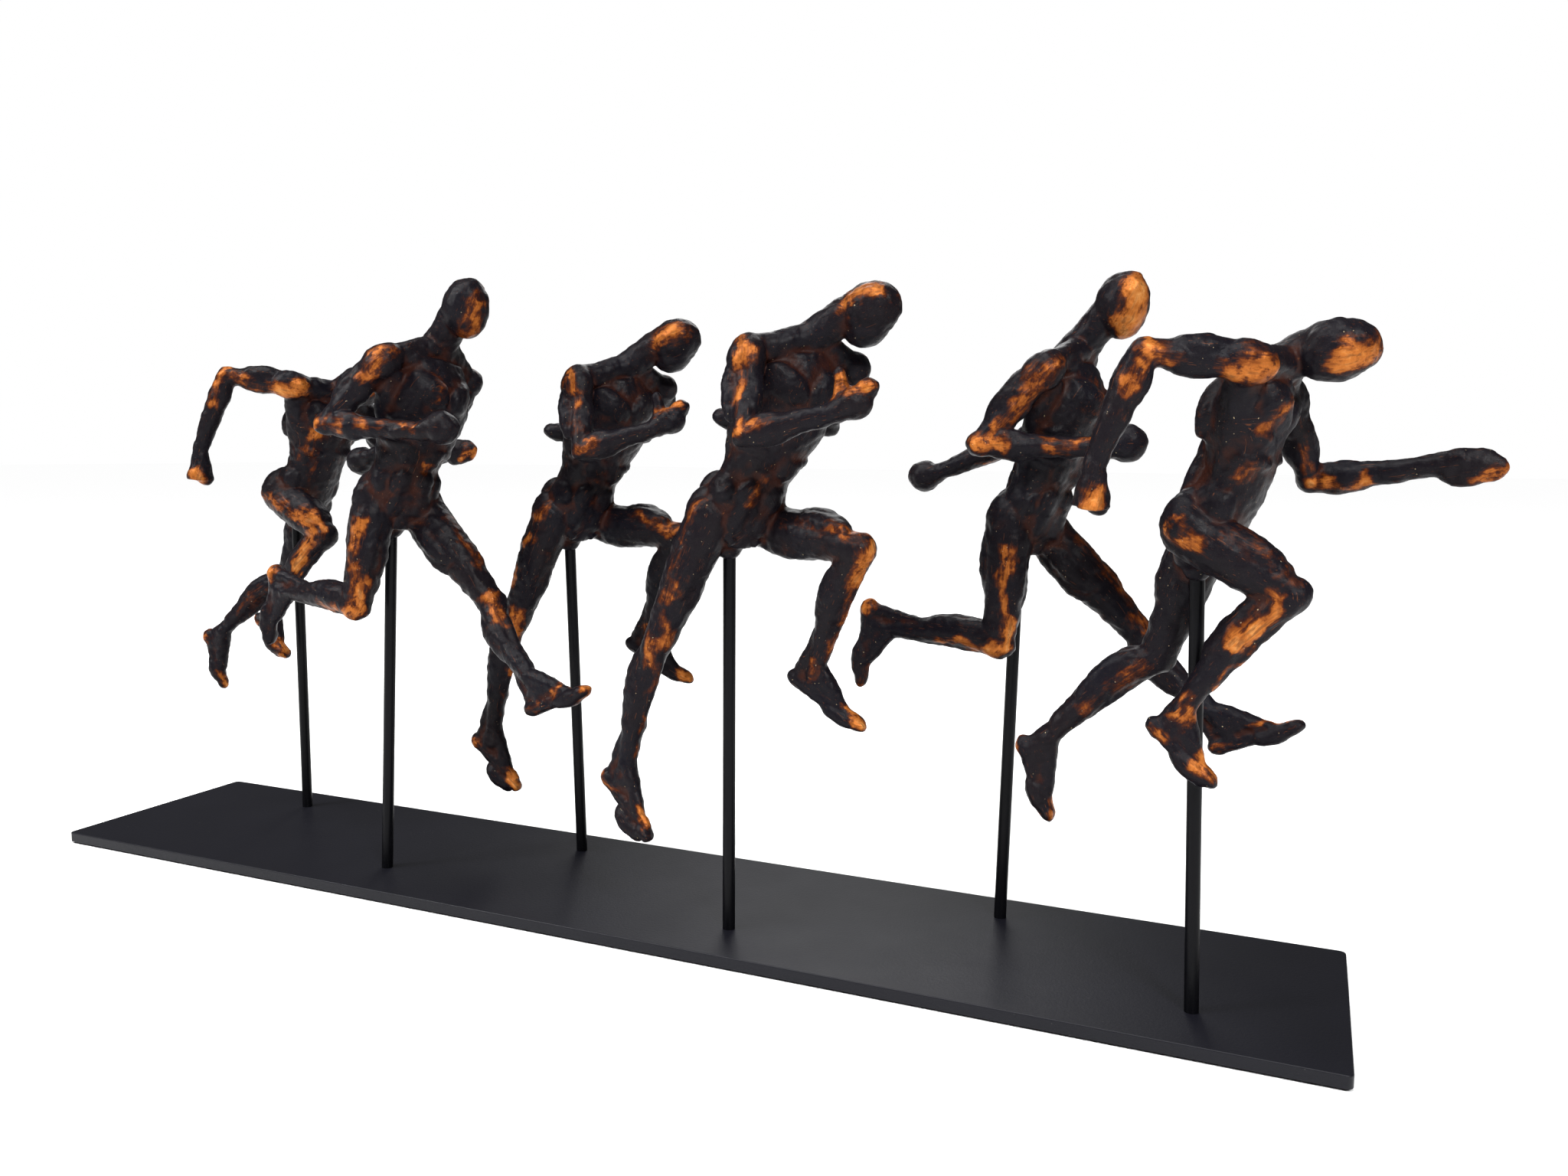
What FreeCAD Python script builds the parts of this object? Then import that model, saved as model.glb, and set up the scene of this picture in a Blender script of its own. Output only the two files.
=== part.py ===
"""Figure trophy: six cast runners standing on steel rods above a flat steel plate.

Row frame: +X is the way the runners go, +Y their left, +Z up.
The origin is the middle of the footprint, on the surface that the felt rests on.
"""

import FreeCAD, Part
import Sketcher
import os

V = FreeCAD.Vector
UP = V(0, 0, 1)

# ---------------------------------------------------------------- driving dimensions (mm)
DIMENSIONS = [
    ("stature", 205.0, "standing height that the runners are modelled to"),
    ("drawn_stature", 205.0, "standing height at which the armatures and gaps are drawn"),
    ("seat_height", 151.0, "plate top to the crotch, where a rod enters its runner"),
    ("socket_depth", 16.0, "how far a rod reaches into its runner"),
    ("socket_clearance", 0.1, "glue line round a rod in its socket"),
    ("rod_diameter", 5.0, "round bar"),
    ("rod_chamfer", 0.5, "bevel on a rod's top end"),
    ("plate_thickness", 4.5, "steel plate"),
    ("plate_corner", 2.5, "radius of the plate's upright corners"),
    ("plate_edge", 0.5, "radius along the plate's top edges"),
    ("left_margin", 73.6, "plate's left end to the first rod"),
    ("right_margin", 50.4, "last rod to the plate's right end"),
    ("front_margin", 26.0, "front row of rods to the plate's front edge"),
    ("back_margin", 21.0, "back row of rods to the plate's back edge"),
    ("gap_one", 104.6, "first rod to second, along the plate, as drawn"),
    ("gap_two", 68.1, "second rod to third"),
    ("gap_three", 106.1, "third rod to fourth"),
    ("gap_four", 96.9, "fourth rod to fifth"),
    ("gap_five", 80.3, "fifth rod to sixth"),
    ("row_gap", 57.0, "front row to back row, as drawn"),
    ("screw_diameter", 3.0, "countersunk machine screw"),
    ("screw_head", 5.6, "diameter of the screw's flat head"),
    ("screw_length", 11.0, "under the plate to the screw's tip"),
    ("screw_hex", 2.0, "across the flats of the screw's socket"),
    ("screw_hex_depth", 1.0, "depth of the screw's socket"),
    ("screw_clearance", 0.1, "round the shank and the head"),
    ("tap_margin", 1.5, "tapped hole below the screw's tip"),
    ("felt_thickness", 1.0, "self-adhesive felt under the plate"),
    ("felt_inset", 4.0, "felt's edge inside the plate's edge"),
]

# Limb radii (mm, as drawn): each is the radius of the ball at that joint.
RADII = {
    "hip": 10.0, "thigh": 9.8, "knee": 6.5, "calf": 7.1, "ankle": 3.6, "heel": 3.8,
    "arch": 4.4, "ball": 4.6, "toe": 2.9, "shoulder": 7.8, "elbow": 5.0, "forearm": 5.2, "wrist": 3.5,
    "fist": 6.0, "palm": 4.6, "finger": 2.6, "nape": 7.8, "neck": 6.3,
}
HEAD = {"length": 12.9, "width": 10.0}
CALF_BACK = 3.0        # how far the calf's belly stands behind the line of the shin
# Torso sections: spine joint, half width across the body, half depth front to back.
TORSO = [("seat", 8.0, 8.0), ("pelvis", 18.0, 14.0), ("waist", 15.5, 11.0),
         ("chest", 21.0, 15.0), ("yoke", 17.0, 10.5)]

# Wire armatures (mm, as drawn), measured from the point where the rod enters.
# X is forward, Y to the runner's left and Z up.
STRIDER = {
    "seat": (1, 0, 3), "pelvis": (4, 0, 15), "waist": (9, -2, 31), "chest": (17, 0, 57),
    "yoke": (18, 2, 75), "neck": (20, 3, 81), "head": (35, -1, 98), "crown": (39, -3, 109),
    "right_shoulder": (13, -21, 74), "right_elbow": (-10, -32, 44),
    "right_wrist": (33, -23, 44), "right_fist": (43, -20, 46),
    "left_shoulder": (19, 22, 69), "left_elbow": (-8, 32, 47),
    "left_wrist": (-41, 27, 32), "left_fist": (-49, 30, 30),
    "right_hip": (-2, -9, 15), "right_knee": (-2, -16, -33), "right_ankle": (-50, -10, -32),
    "right_heel": (-59, -9, -24), "right_toe": (-61, -9, -55),
    "left_hip": (9, 10, 10), "left_knee": (46, 15, -28), "left_ankle": (77, 3, -55),
    "left_heel": (80, 3, -68), "left_toe": (107, 0, -56),
}
DRIVER = {
    "seat": (1, 0, 3), "pelvis": (4, 0, 15), "waist": (12, 0, 31), "chest": (26, 0, 60),
    "yoke": (29, -2, 76), "neck": (33, -2, 80), "head": (56, 1, 90), "crown": (67, -1, 94),
    "right_shoulder": (17, -19, 75), "right_elbow": (23, -35, 44),
    "right_wrist": (55, -32, 52), "right_fist": (62, -30, 56),
    "left_shoulder": (45, 14, 70), "left_elbow": (26, 37, 49),
    "left_wrist": (-7, 31, 50), "left_fist": (-16, 29, 52),
    "right_hip": (-4, -9, 14), "right_knee": (-24, -13, -35), "right_ankle": (-39, -13, -85),
    "right_heel": (-48, -12, -92), "right_toe": (-26, -18, -111),
    "left_hip": (10, 12, 10), "left_knee": (56, -5, 3), "left_ankle": (35, 5, -44),
    "left_heel": (26, 6, -49), "left_toe": (53, 6, -65),
}
REACHER = {
    "seat": (1, 0, 2), "pelvis": (2, 0, 14), "waist": (12, 0, 31), "chest": (15, -1, 52),
    "yoke": (21, 0, 64), "neck": (26, 0, 67), "head": (41, -4, 70), "crown": (51, -2, 71),
    "right_shoulder": (18, -22, 66), "right_elbow": (-14, -36, 70),
    "right_wrist": (-28, -37, 36), "right_fist": (-29, -36, 26),
    "left_shoulder": (25, 20, 59), "left_elbow": (34, 35, 29),
    "left_wrist": (68, 29, 33), "left_fist": (80, 27, 35), "left_finger": (90, 26, 36),
    "right_hip": (-2, -10, 15), "right_knee": (29, -12, -6), "right_ankle": (-4, -11, -45),
    "right_heel": (-11, -11, -51), "right_toe": (6, -13, -67),
    "left_hip": (1, 11, 11), "left_knee": (-14, 12, -31), "left_ankle": (-51, 7, -61),
    "left_heel": (-59, 7, -65), "left_toe": (-51, 10, -90),
}
# The back left runner was bent a little further out of the same mould as the front right one.
BENT_REACHER = {
    **REACHER,
    "right_shoulder": (18, -22, 68), "right_elbow": (-14, -36, 71),
    "right_wrist": (-28, -37, 34), "right_fist": (-29, -36, 22),
    "left_wrist": (67, 29, 38), "left_fist": (79, 27, 42), "left_finger": (89, 26, 44),
    "left_knee": (-15, 12, -30), "left_ankle": (-53, 7, -60),
    "left_heel": (-62, 7, -64), "left_toe": (-55, 10, -89),
}

# Stations along the plate. A rod leans forward by lean degrees; on it, a runner sits lift mm
# above the seat height, turned to its left by turn and tipped to its right by tip degrees.
GAPS = ["gap_one", "gap_two", "gap_three", "gap_four", "gap_five"]
STATIONS = {
    "back_left": {"gaps": 0, "row": "back", "armature": BENT_REACHER,
                  "lean": 0.0, "lift": 1.0, "turn": 4.0, "tip": -5.0},
    "front_left": {"gaps": 1, "row": "front", "armature": STRIDER,
                   "lean": 3.0, "lift": 3.5, "turn": -2.0, "tip": -3.5},
    "back_middle": {"gaps": 2, "row": "back", "armature": DRIVER,
                    "lean": -1.8, "lift": -4.0, "turn": 11.0, "tip": 2.5},
    "front_middle": {"gaps": 3, "row": "front", "armature": DRIVER,
                     "lean": 0.0, "lift": 1.0, "turn": 0.0, "tip": 0.0},
    "back_right": {"gaps": 4, "row": "back", "armature": STRIDER,
                   "lean": 1.2, "lift": -1.5, "turn": 0.0, "tip": 0.0},
    "front_right": {"gaps": 5, "row": "front", "armature": REACHER,
                    "lean": -1.7, "lift": 1.0, "turn": 0.0, "tip": 0.0},
}

doc = FreeCAD.newDocument("figure_trophy")
sheet = doc.addObject("Spreadsheet::Sheet", "dims")
for row, (alias, value, note) in enumerate(DIMENSIONS, start=1):
    sheet.set(f"A{row}", alias)
    sheet.set(f"B{row}", repr(value))
    sheet.setAlias(f"B{row}", alias)
    sheet.set(f"C{row}", note)
doc.recompute()


def size(alias):
    """A driving dimension read back from the sheet."""
    return float(sheet.get(alias))


SCALE_CELLS = "dims.stature / dims.drawn_stature"
SPAN_CELLS = "(" + " + ".join(f"dims.{g}" for g in GAPS) + ") * " + SCALE_CELLS
LENGTH_CELLS = f"(dims.left_margin + {SPAN_CELLS} + dims.right_margin)"
WIDTH_CELLS = f"(dims.front_margin + dims.row_gap * {SCALE_CELLS} + dims.back_margin)"

scale = size("stature") / size("drawn_stature")
plate_length = size("left_margin") + sum(size(g) for g in GAPS) * scale + size("right_margin")
plate_width = size("front_margin") + size("row_gap") * scale + size("back_margin")
plate_bottom = size("felt_thickness")
plate_top = plate_bottom + size("plate_thickness")


def foot_of(station):
    """Where a station's rod stands, on the plate's top face."""
    reach = sum(size(g) for g in GAPS[:station["gaps"]]) * scale
    x = -plate_length / 2 + size("left_margin") + reach
    front = -plate_width / 2 + size("front_margin")
    y = front if station["row"] == "front" else front + size("row_gap") * scale
    return V(x, y, plate_top)


def lean_of(station):
    return FreeCAD.Rotation(V(0, 1, 0), station["lean"])


# ---------------------------------------------------------------- flat pieces
def rounded_slab(label, length_cells, width_cells, thickness_cells, corner_cells, base_cells):
    """A rectangle centred on the origin, padded upwards, with rounded upright corners."""
    body = doc.addObject("PartDesign::Body", label + "_body")
    plane = next(f for f in body.Origin.OriginFeatures if f.Role == "XY_Plane")
    sketch = body.newObject("Sketcher::SketchObject", label + "_outline")
    sketch.AttachmentSupport = [(plane, "")]
    sketch.MapMode = "FlatFace"
    corners = [V(-50, -20, 0), V(50, -20, 0), V(50, 20, 0), V(-50, 20, 0)]
    for k in range(4):
        sketch.addGeometry(Part.LineSegment(corners[k], corners[(k + 1) % 4]), False)
    for k in range(4):
        sketch.addConstraint(Sketcher.Constraint("Coincident", k, 2, (k + 1) % 4, 1))
    for k, way in enumerate(("Horizontal", "Vertical", "Horizontal", "Vertical")):
        sketch.addConstraint(Sketcher.Constraint(way, k))
    sketch.addConstraint(Sketcher.Constraint("Symmetric", 0, 1, 2, 1, -1, 1))
    wide = sketch.addConstraint(Sketcher.Constraint("Distance", 0, 100.0))
    deep = sketch.addConstraint(Sketcher.Constraint("Distance", 1, 40.0))
    sketch.setExpression(f"Constraints[{wide}]", length_cells)
    sketch.setExpression(f"Constraints[{deep}]", width_cells)
    pad = body.newObject("PartDesign::Pad", label + "_pad")
    pad.Profile = sketch
    pad.setExpression("Length", thickness_cells)
    doc.recompute()
    uprights = [f"Edge{i}" for i, e in enumerate(pad.Shape.Edges, start=1)
                if abs(e.tangentAt(e.FirstParameter).z) > 0.99]
    fillet = body.newObject("PartDesign::Fillet", label + "_corners")
    fillet.Base = (pad, uprights)
    fillet.setExpression("Radius", corner_cells)
    body.Tip = fillet
    body.setExpression("Placement.Base.z", base_cells)
    doc.recompute()
    return body, fillet


def eased_plate():
    """The plate's slab, with its top edge eased by a small radius."""
    body, corners = rounded_slab("plate", LENGTH_CELLS, WIDTH_CELLS,
                                 "dims.plate_thickness", "dims.plate_corner",
                                 "dims.felt_thickness")
    top = max(v.Z for v in corners.Shape.Vertexes)
    rim = [f"Edge{i}" for i, e in enumerate(corners.Shape.Edges, start=1)
           if all(abs(v.Z - top) < 1e-6 for v in e.Vertexes)]
    eased = body.newObject("PartDesign::Fillet", "plate_rim")
    eased.Base = (corners, rim)
    eased.setExpression("Radius", "dims.plate_edge")
    body.Tip = eased
    doc.recompute()
    return body


UPRIGHT = FreeCAD.Rotation()


def cylinder(name, radius_cells, height_cells, at, lean=UPRIGHT):
    """A cylinder whose foot stands at a point."""
    made = doc.addObject("Part::Cylinder", name)
    made.setExpression("Radius", radius_cells)
    made.setExpression("Height", height_cells)
    made.Placement = FreeCAD.Placement(at, lean)
    return made


def cone(name, low_cells, high_cells, height_cells, at, lean=UPRIGHT):
    """A cone frustum whose foot stands at a point."""
    made = doc.addObject("Part::Cone", name)
    made.setExpression("Radius1", low_cells)
    made.setExpression("Radius2", high_cells)
    made.setExpression("Height", height_cells)
    made.Placement = FreeCAD.Placement(at, lean)
    return made


def fuse(name, *shapes):
    made = doc.addObject("Part::MultiFuse", name)
    made.Shapes = list(shapes)
    return made


def cut(name, base, tool):
    made = doc.addObject("Part::Cut", name)
    made.Base = base
    made.Tool = tool
    return made


HEAD_DROP = "(dims.screw_head - dims.screw_diameter) / 2"      # a 90 degree countersink
BORE = "dims.screw_diameter / 2 + dims.screw_clearance / 2"


def screw_hole(name, foot):
    """Clearance hole with its countersink, from the plate's underside."""
    low = V(foot.x, foot.y, plate_bottom)
    shank = cylinder(name + "_hole_shank", BORE, "dims.plate_thickness", low)
    sink = cone(name + "_hole_sink", "dims.screw_head / 2 + dims.screw_clearance",
                BORE, HEAD_DROP + " + dims.screw_clearance / 2", low)
    return fuse(name + "_hole", shank, sink)


def base_plate():
    holes = [screw_hole(name, foot_of(station)) for name, station in STATIONS.items()]
    return cut("base_plate", eased_plate(), fuse("plate_holes", *holes))


def rod(name, station):
    """Leaning round bar, its foot filed level with the plate and tapped for the screw."""
    foot, lean = foot_of(station), lean_of(station)
    spare = size("rod_diameter")            # sunk below the plate's top, then filed off
    start = foot - lean.multVec(UP) * spare
    straight = f"dims.seat_height + {station['lift']} + dims.socket_depth - dims.rod_chamfer"
    bar = cylinder(name + "_bar", "dims.rod_diameter / 2",
                   f"{straight} + dims.rod_diameter", start, lean)
    reach = size("seat_height") + station["lift"] + size("socket_depth") - size("rod_chamfer")
    tip = cone(name + "_tip", "dims.rod_diameter / 2",
               "dims.rod_diameter / 2 - dims.rod_chamfer", "dims.rod_chamfer",
               foot + lean.multVec(UP) * reach, lean)
    filing = cylinder(name + "_filing", "dims.rod_diameter * 2", "dims.rod_diameter * 2",
                      foot - UP * 2 * spare)
    tap = cylinder(name + "_tap", BORE,
                   "dims.screw_length - dims.plate_thickness + dims.tap_margin", foot)
    return cut("rod_" + name, fuse(name + "_bar_whole", bar, tip),
               fuse(name + "_foot_cuts", filing, tap))


def screw(name, station):
    """Countersunk screw, driven up through the plate into the rod."""
    foot = foot_of(station)
    low = V(foot.x, foot.y, plate_bottom)
    head = cone(name + "_head", "dims.screw_head / 2", "dims.screw_diameter / 2",
                HEAD_DROP, low)
    shank = cylinder(name + "_shank", "dims.screw_diameter / 2", "dims.screw_length", low)
    socket = doc.addObject("Part::Prism", name + "_socket")
    socket.Polygon = 6
    socket.setExpression("Circumradius", "dims.screw_hex / sqrt(3)")
    socket.setExpression("Height", "dims.screw_hex_depth")
    socket.Placement = FreeCAD.Placement(low, FreeCAD.Rotation())
    return cut("screw_" + name, fuse(name + "_blank", head, shank), socket)


# ---------------------------------------------------------------- the runners
def point(armature, joint):
    return V(*armature[joint]) * scale


def ball(centre, radius, axis):
    """A joint's ball. Its axis lies along the limb, so that the limb hides both its poles."""
    return Part.makeSphere(radius * scale, centre, axis)


CORE_SHARE = 0.95      # a limb's cone stays just inside the balls at its ends


def core(start, end, start_radius, end_radius):
    """The tapered middle of a limb, between two joints."""
    way = end - start
    low, high = start_radius * scale * CORE_SHARE, end_radius * scale * CORE_SHARE
    if abs(low - high) < 0.01:
        return Part.makeCylinder(low, way.Length, start, way)
    return Part.makeCone(low, high, way.Length, start, way)


def chain(armature_points, names):
    """A limb through several joints: a ball at each, and a tapered core between each two."""
    made = []
    for k, (at, name) in enumerate(zip(armature_points, names)):
        before = armature_points[max(k - 1, 0)]
        after = armature_points[min(k + 1, len(names) - 1)]
        if k > 0:
            made.append(core(before, at, RADII[names[k - 1]], RADII[name]))
        ways = [w.normalize() for w in (at - before, after - at) if w.Length > 0]
        made.append(ball(at, RADII[name], sum(ways[1:], ways[0])))
    return made


def along(start, end, share):
    return start + (end - start) * share


def leg(armature, side):
    """Thigh, calf and foot, as a chain of tapered limbs."""
    hip, knee = point(armature, side + "_hip"), point(armature, side + "_knee")
    ankle, heel = point(armature, side + "_ankle"), point(armature, side + "_heel")
    toe = point(armature, side + "_toe")
    thigh = along(hip, knee, 0.4)
    shin = (ankle - knee).normalize()
    behind = (heel - toe) - shin * (heel - toe).dot(shin)
    calf = along(knee, ankle, 0.3) + behind.normalize() * CALF_BACK * scale
    sole = along(heel, toe, 0.68)
    arch = along(ankle, along(heel, sole, 0.5), 0.55)
    down = chain([hip, thigh, knee, calf, ankle, heel],
                 ["hip", "thigh", "knee", "calf", "ankle", "heel"])
    forward = chain([ankle, sole, toe], ["ankle", "ball", "toe"])[1:]   # the ankle's ball is made
    under = [core(heel, sole, RADII["heel"], RADII["ball"]), ball(arch, RADII["arch"], toe - heel)]
    return down + forward + under


def arm(armature, side):
    """Upper arm, forearm and either a fist or an open hand."""
    shoulder, elbow = point(armature, side + "_shoulder"), point(armature, side + "_elbow")
    wrist, fist = point(armature, side + "_wrist"), point(armature, side + "_fist")
    muscle = along(elbow, wrist, 0.3)
    joints, names = [shoulder, elbow, muscle, wrist], ["shoulder", "elbow", "forearm", "wrist"]
    if side + "_finger" not in armature:
        return chain(joints + [fist], names + ["fist"])
    finger = point(armature, side + "_finger")
    return chain(joints + [fist, finger], names + ["palm", "finger"])


def egg(centre, tip, half_width):
    """The head: an ellipsoid whose long axis points at the crown."""
    way = (tip - centre)
    stretch = FreeCAD.Matrix()
    stretch.scale(half_width * scale, half_width * scale, HEAD["length"] * scale)
    shape = Part.makeSphere(1.0).transformGeometry(stretch)
    shape.Placement = FreeCAD.Placement(centre, FreeCAD.Rotation(UP, way))
    return shape


def torso(armature):
    """A loft of ellipses up the spine, turning from the line of the hips to the shoulders'."""
    hips = point(armature, "left_hip") - point(armature, "right_hip")
    shoulders = point(armature, "left_shoulder") - point(armature, "right_shoulder")
    joints = [point(armature, name) for name, _, _ in TORSO]
    wires = []
    for k, (name, half_width, half_depth) in enumerate(TORSO):
        before, after = joints[max(k - 1, 0)], joints[min(k + 1, len(joints) - 1)]
        normal = (after - before).normalize()
        share = k / (len(TORSO) - 1)
        across = hips.normalize() * (1 - share) + shoulders.normalize() * share
        across = (across - normal * across.dot(normal)).normalize()
        forward = normal.cross(across)
        rings = Part.Ellipse(V(0, 0, 0), half_width * scale, half_depth * scale).toShape()
        wire = Part.Wire([rings])
        wire.Placement = FreeCAD.Placement(
            joints[k], FreeCAD.Rotation(across, forward, normal, "ZXY"))
        wires.append(wire)
    return Part.makeLoft(wires, True, False)


def casting(armature):
    """One solid runner, before its socket is drilled."""
    pieces = [torso(armature)]
    for side in ("right", "left"):
        pieces += leg(armature, side) + arm(armature, side)
    yoke, neck, head = (point(armature, name) for name in ("yoke", "neck", "head"))
    pieces += chain([yoke, neck, head], ["nape", "neck", "neck"])[1:]   # no ball in the yoke
    pieces.append(egg(head, point(armature, "crown"), HEAD["width"]))
    return pieces[0].fuse(pieces[1:])


DRILL_START = 38.0     # the drill starts this far below the seat, clear of the casting


def drilled(shape, way):
    """A casting with the blind socket that its rod is glued into."""
    below = DRILL_START * scale
    radius = size("rod_diameter") / 2 + size("socket_clearance")
    drill = Part.makeCylinder(radius, size("socket_depth") + below, way * -below, way)
    return shape.cut(drill)


def build_runners():
    """Each pose is cast, once for each armature, then drilled and set on its own rod."""
    poured = {}
    for name, station in STATIONS.items():
        key = id(station["armature"])
        if key not in poured:
            poured[key] = casting(station["armature"])
        pose = FreeCAD.Rotation(V(1, 0, 0), station["tip"]) * FreeCAD.Rotation(UP, station["turn"])
        made = doc.addObject("Part::Feature", "runner_" + name)
        made.Shape = drilled(poured[key], pose.inverted().multVec(UP))
        lean = lean_of(station)
        seat = foot_of(station) + lean.multVec(UP) * (size("seat_height") + station["lift"])
        made.Placement = FreeCAD.Placement(seat, lean * pose)
        made.Label = "runner_" + name
        yield made


# ---------------------------------------------------------------- assembly and export
FELT_LENGTH = f"{LENGTH_CELLS} - 2 * dims.felt_inset"
FELT_WIDTH = f"{WIDTH_CELLS} - 2 * dims.felt_inset"

parts = {"base_plate": base_plate()}
parts["felt_underlay"] = rounded_slab("felt", FELT_LENGTH, FELT_WIDTH, "dims.felt_thickness",
                                      "dims.plate_corner", "0")[0]
for place, station_data in STATIONS.items():
    parts["rod_" + place] = rod(place, station_data)
    parts["screw_" + place] = screw(place, station_data)
for runner in build_runners():
    parts[runner.Label] = runner
for label, made in parts.items():
    made.Label = label
doc.recompute()

for made in doc.Objects:
    bad = [word for word in made.State if word in ("Invalid", "Error")]
    if bad:
        raise RuntimeError(f"{made.Name} is {bad}")
os.makedirs("parts", exist_ok=True)
for label, made in parts.items():
    shape = made.Shape
    if shape.isNull() or not shape.isValid():
        raise RuntimeError(f"{label} has no valid shape")
    print(f"{label}: {len(shape.Solids)} solid, {shape.Volume / 1000:.2f} cm3")
    shape.exportStep(f"parts/{label}.step")
print(f"plate {plate_length:.1f} x {plate_width:.1f} mm")
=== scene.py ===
# %% [markdown]
# # Six runners on rods
#
# A long steel plate carries six slim steel rods, and on each rod stands a cast figure of a
# runner, brushed with dark wax and rubbed back until copper shows on its high places.
# The plate, the rods, the screws and the felt come from the CAD frame. This lesson models the
# runners as a sculptor would, out of lumps of clay on a wire armature, and then mixes the
# finishes. Lengths are in millimetres where they are written down, and MM turns them into metres.

# %% Load the frame
import math

import bpy
import numpy as np
from mathutils import Matrix, Vector, noise


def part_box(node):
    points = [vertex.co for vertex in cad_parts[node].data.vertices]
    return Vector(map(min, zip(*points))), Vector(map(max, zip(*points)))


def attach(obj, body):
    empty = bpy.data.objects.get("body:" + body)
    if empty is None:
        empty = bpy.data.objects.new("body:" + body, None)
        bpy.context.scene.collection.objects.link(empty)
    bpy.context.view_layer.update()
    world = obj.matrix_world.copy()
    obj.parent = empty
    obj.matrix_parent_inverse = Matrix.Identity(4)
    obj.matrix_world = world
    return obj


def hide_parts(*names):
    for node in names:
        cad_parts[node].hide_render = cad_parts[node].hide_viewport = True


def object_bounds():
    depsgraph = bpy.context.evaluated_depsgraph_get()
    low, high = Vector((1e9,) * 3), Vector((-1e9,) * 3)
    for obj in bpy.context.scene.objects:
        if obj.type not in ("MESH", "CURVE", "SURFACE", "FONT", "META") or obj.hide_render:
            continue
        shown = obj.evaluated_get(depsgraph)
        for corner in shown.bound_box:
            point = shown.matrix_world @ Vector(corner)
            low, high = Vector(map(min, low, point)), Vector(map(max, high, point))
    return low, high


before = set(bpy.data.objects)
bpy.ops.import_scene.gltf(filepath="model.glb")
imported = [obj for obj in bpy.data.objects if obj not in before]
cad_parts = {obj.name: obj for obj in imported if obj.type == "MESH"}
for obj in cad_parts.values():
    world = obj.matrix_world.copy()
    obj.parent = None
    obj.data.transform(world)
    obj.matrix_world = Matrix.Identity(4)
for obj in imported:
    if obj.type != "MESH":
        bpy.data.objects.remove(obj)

MM = 0.001
cad_low, cad_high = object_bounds()
scene = bpy.context.scene
bpy.ops.object.select_all(action="DESELECT")
print("CAD box in mm:", [round(c / MM, 1) for c in (*cad_low, *cad_high)])

# %% [markdown]
# ## Camera
#
# The camera stands low, in front of the row and to its right, a little above the figures' waists.
# A camera could be aimed with a Track To constraint, but building its three axes by hand keeps
# the small roll of a camera held in the hand.

# %% Camera
EYE = Vector((0.268, -0.448, 0.1965))
HEADING = math.radians(23.38)
DIP = math.radians(6.465)
ROLL = math.radians(0.397)

level_right = Vector((math.cos(HEADING), math.sin(HEADING), 0))
forward = Vector((-math.sin(HEADING) * math.cos(DIP), math.cos(HEADING) * math.cos(DIP),
                  -math.sin(DIP)))
level_up = level_right.cross(forward)
camera_right = level_right * math.cos(ROLL) + level_up * math.sin(ROLL)
camera_up = level_up * math.cos(ROLL) - level_right * math.sin(ROLL)
camera_turn = Matrix((camera_right, camera_up, -forward)).transposed()
bpy.ops.object.camera_add(location=EYE, rotation=camera_turn.to_euler())
camera = bpy.context.object
camera.data.sensor_width = 36
camera.data.lens = 27.81
camera.data.clip_start = 0.01
scene.camera = camera
print("camera looks along", [round(c, 3) for c in forward])

# %% [markdown]
# ## The wire armatures
#
# A sculptor bends wire into a pose before adding clay. There are three poses, and each is cast
# twice, though one of the copies came out of its mould a little bent. Every joint is measured
# from the point where the rod enters the figure: X is forward, Y is the runner's left and Z is
# up. These are the same joints as in the CAD frame.

# %% Three armatures and a bent one
STRIDER = {
    "seat": (1, 0, 3), "pelvis": (4, 0, 15), "waist": (9, -2, 31), "chest": (17, 0, 57),
    "yoke": (18, 2, 75), "neck": (20, 3, 81), "head": (35, -1, 98), "crown": (39, -3, 109),
    "right_shoulder": (13, -21, 74), "right_elbow": (-10, -32, 44),
    "right_wrist": (33, -23, 44), "right_fist": (43, -20, 46),
    "left_shoulder": (19, 22, 69), "left_elbow": (-8, 32, 47),
    "left_wrist": (-41, 27, 32), "left_fist": (-49, 30, 30),
    "right_hip": (-2, -9, 15), "right_knee": (-2, -16, -33), "right_ankle": (-50, -10, -32),
    "right_heel": (-59, -9, -24), "right_toe": (-61, -9, -55),
    "left_hip": (9, 10, 10), "left_knee": (46, 15, -28), "left_ankle": (77, 3, -55),
    "left_heel": (80, 3, -68), "left_toe": (107, 0, -56),
}
DRIVER = {
    "seat": (1, 0, 3), "pelvis": (4, 0, 15), "waist": (12, 0, 31), "chest": (26, 0, 60),
    "yoke": (29, -2, 76), "neck": (33, -2, 80), "head": (56, 1, 90), "crown": (67, -1, 94),
    "right_shoulder": (17, -19, 75), "right_elbow": (23, -35, 44),
    "right_wrist": (55, -32, 52), "right_fist": (62, -30, 56),
    "left_shoulder": (45, 14, 70), "left_elbow": (26, 37, 49),
    "left_wrist": (-7, 31, 50), "left_fist": (-16, 29, 52),
    "right_hip": (-4, -9, 14), "right_knee": (-24, -13, -35), "right_ankle": (-39, -13, -85),
    "right_heel": (-48, -12, -92), "right_toe": (-26, -18, -111),
    "left_hip": (10, 12, 10), "left_knee": (56, -5, 3), "left_ankle": (35, 5, -44),
    "left_heel": (26, 6, -49), "left_toe": (53, 6, -65),
}
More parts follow.
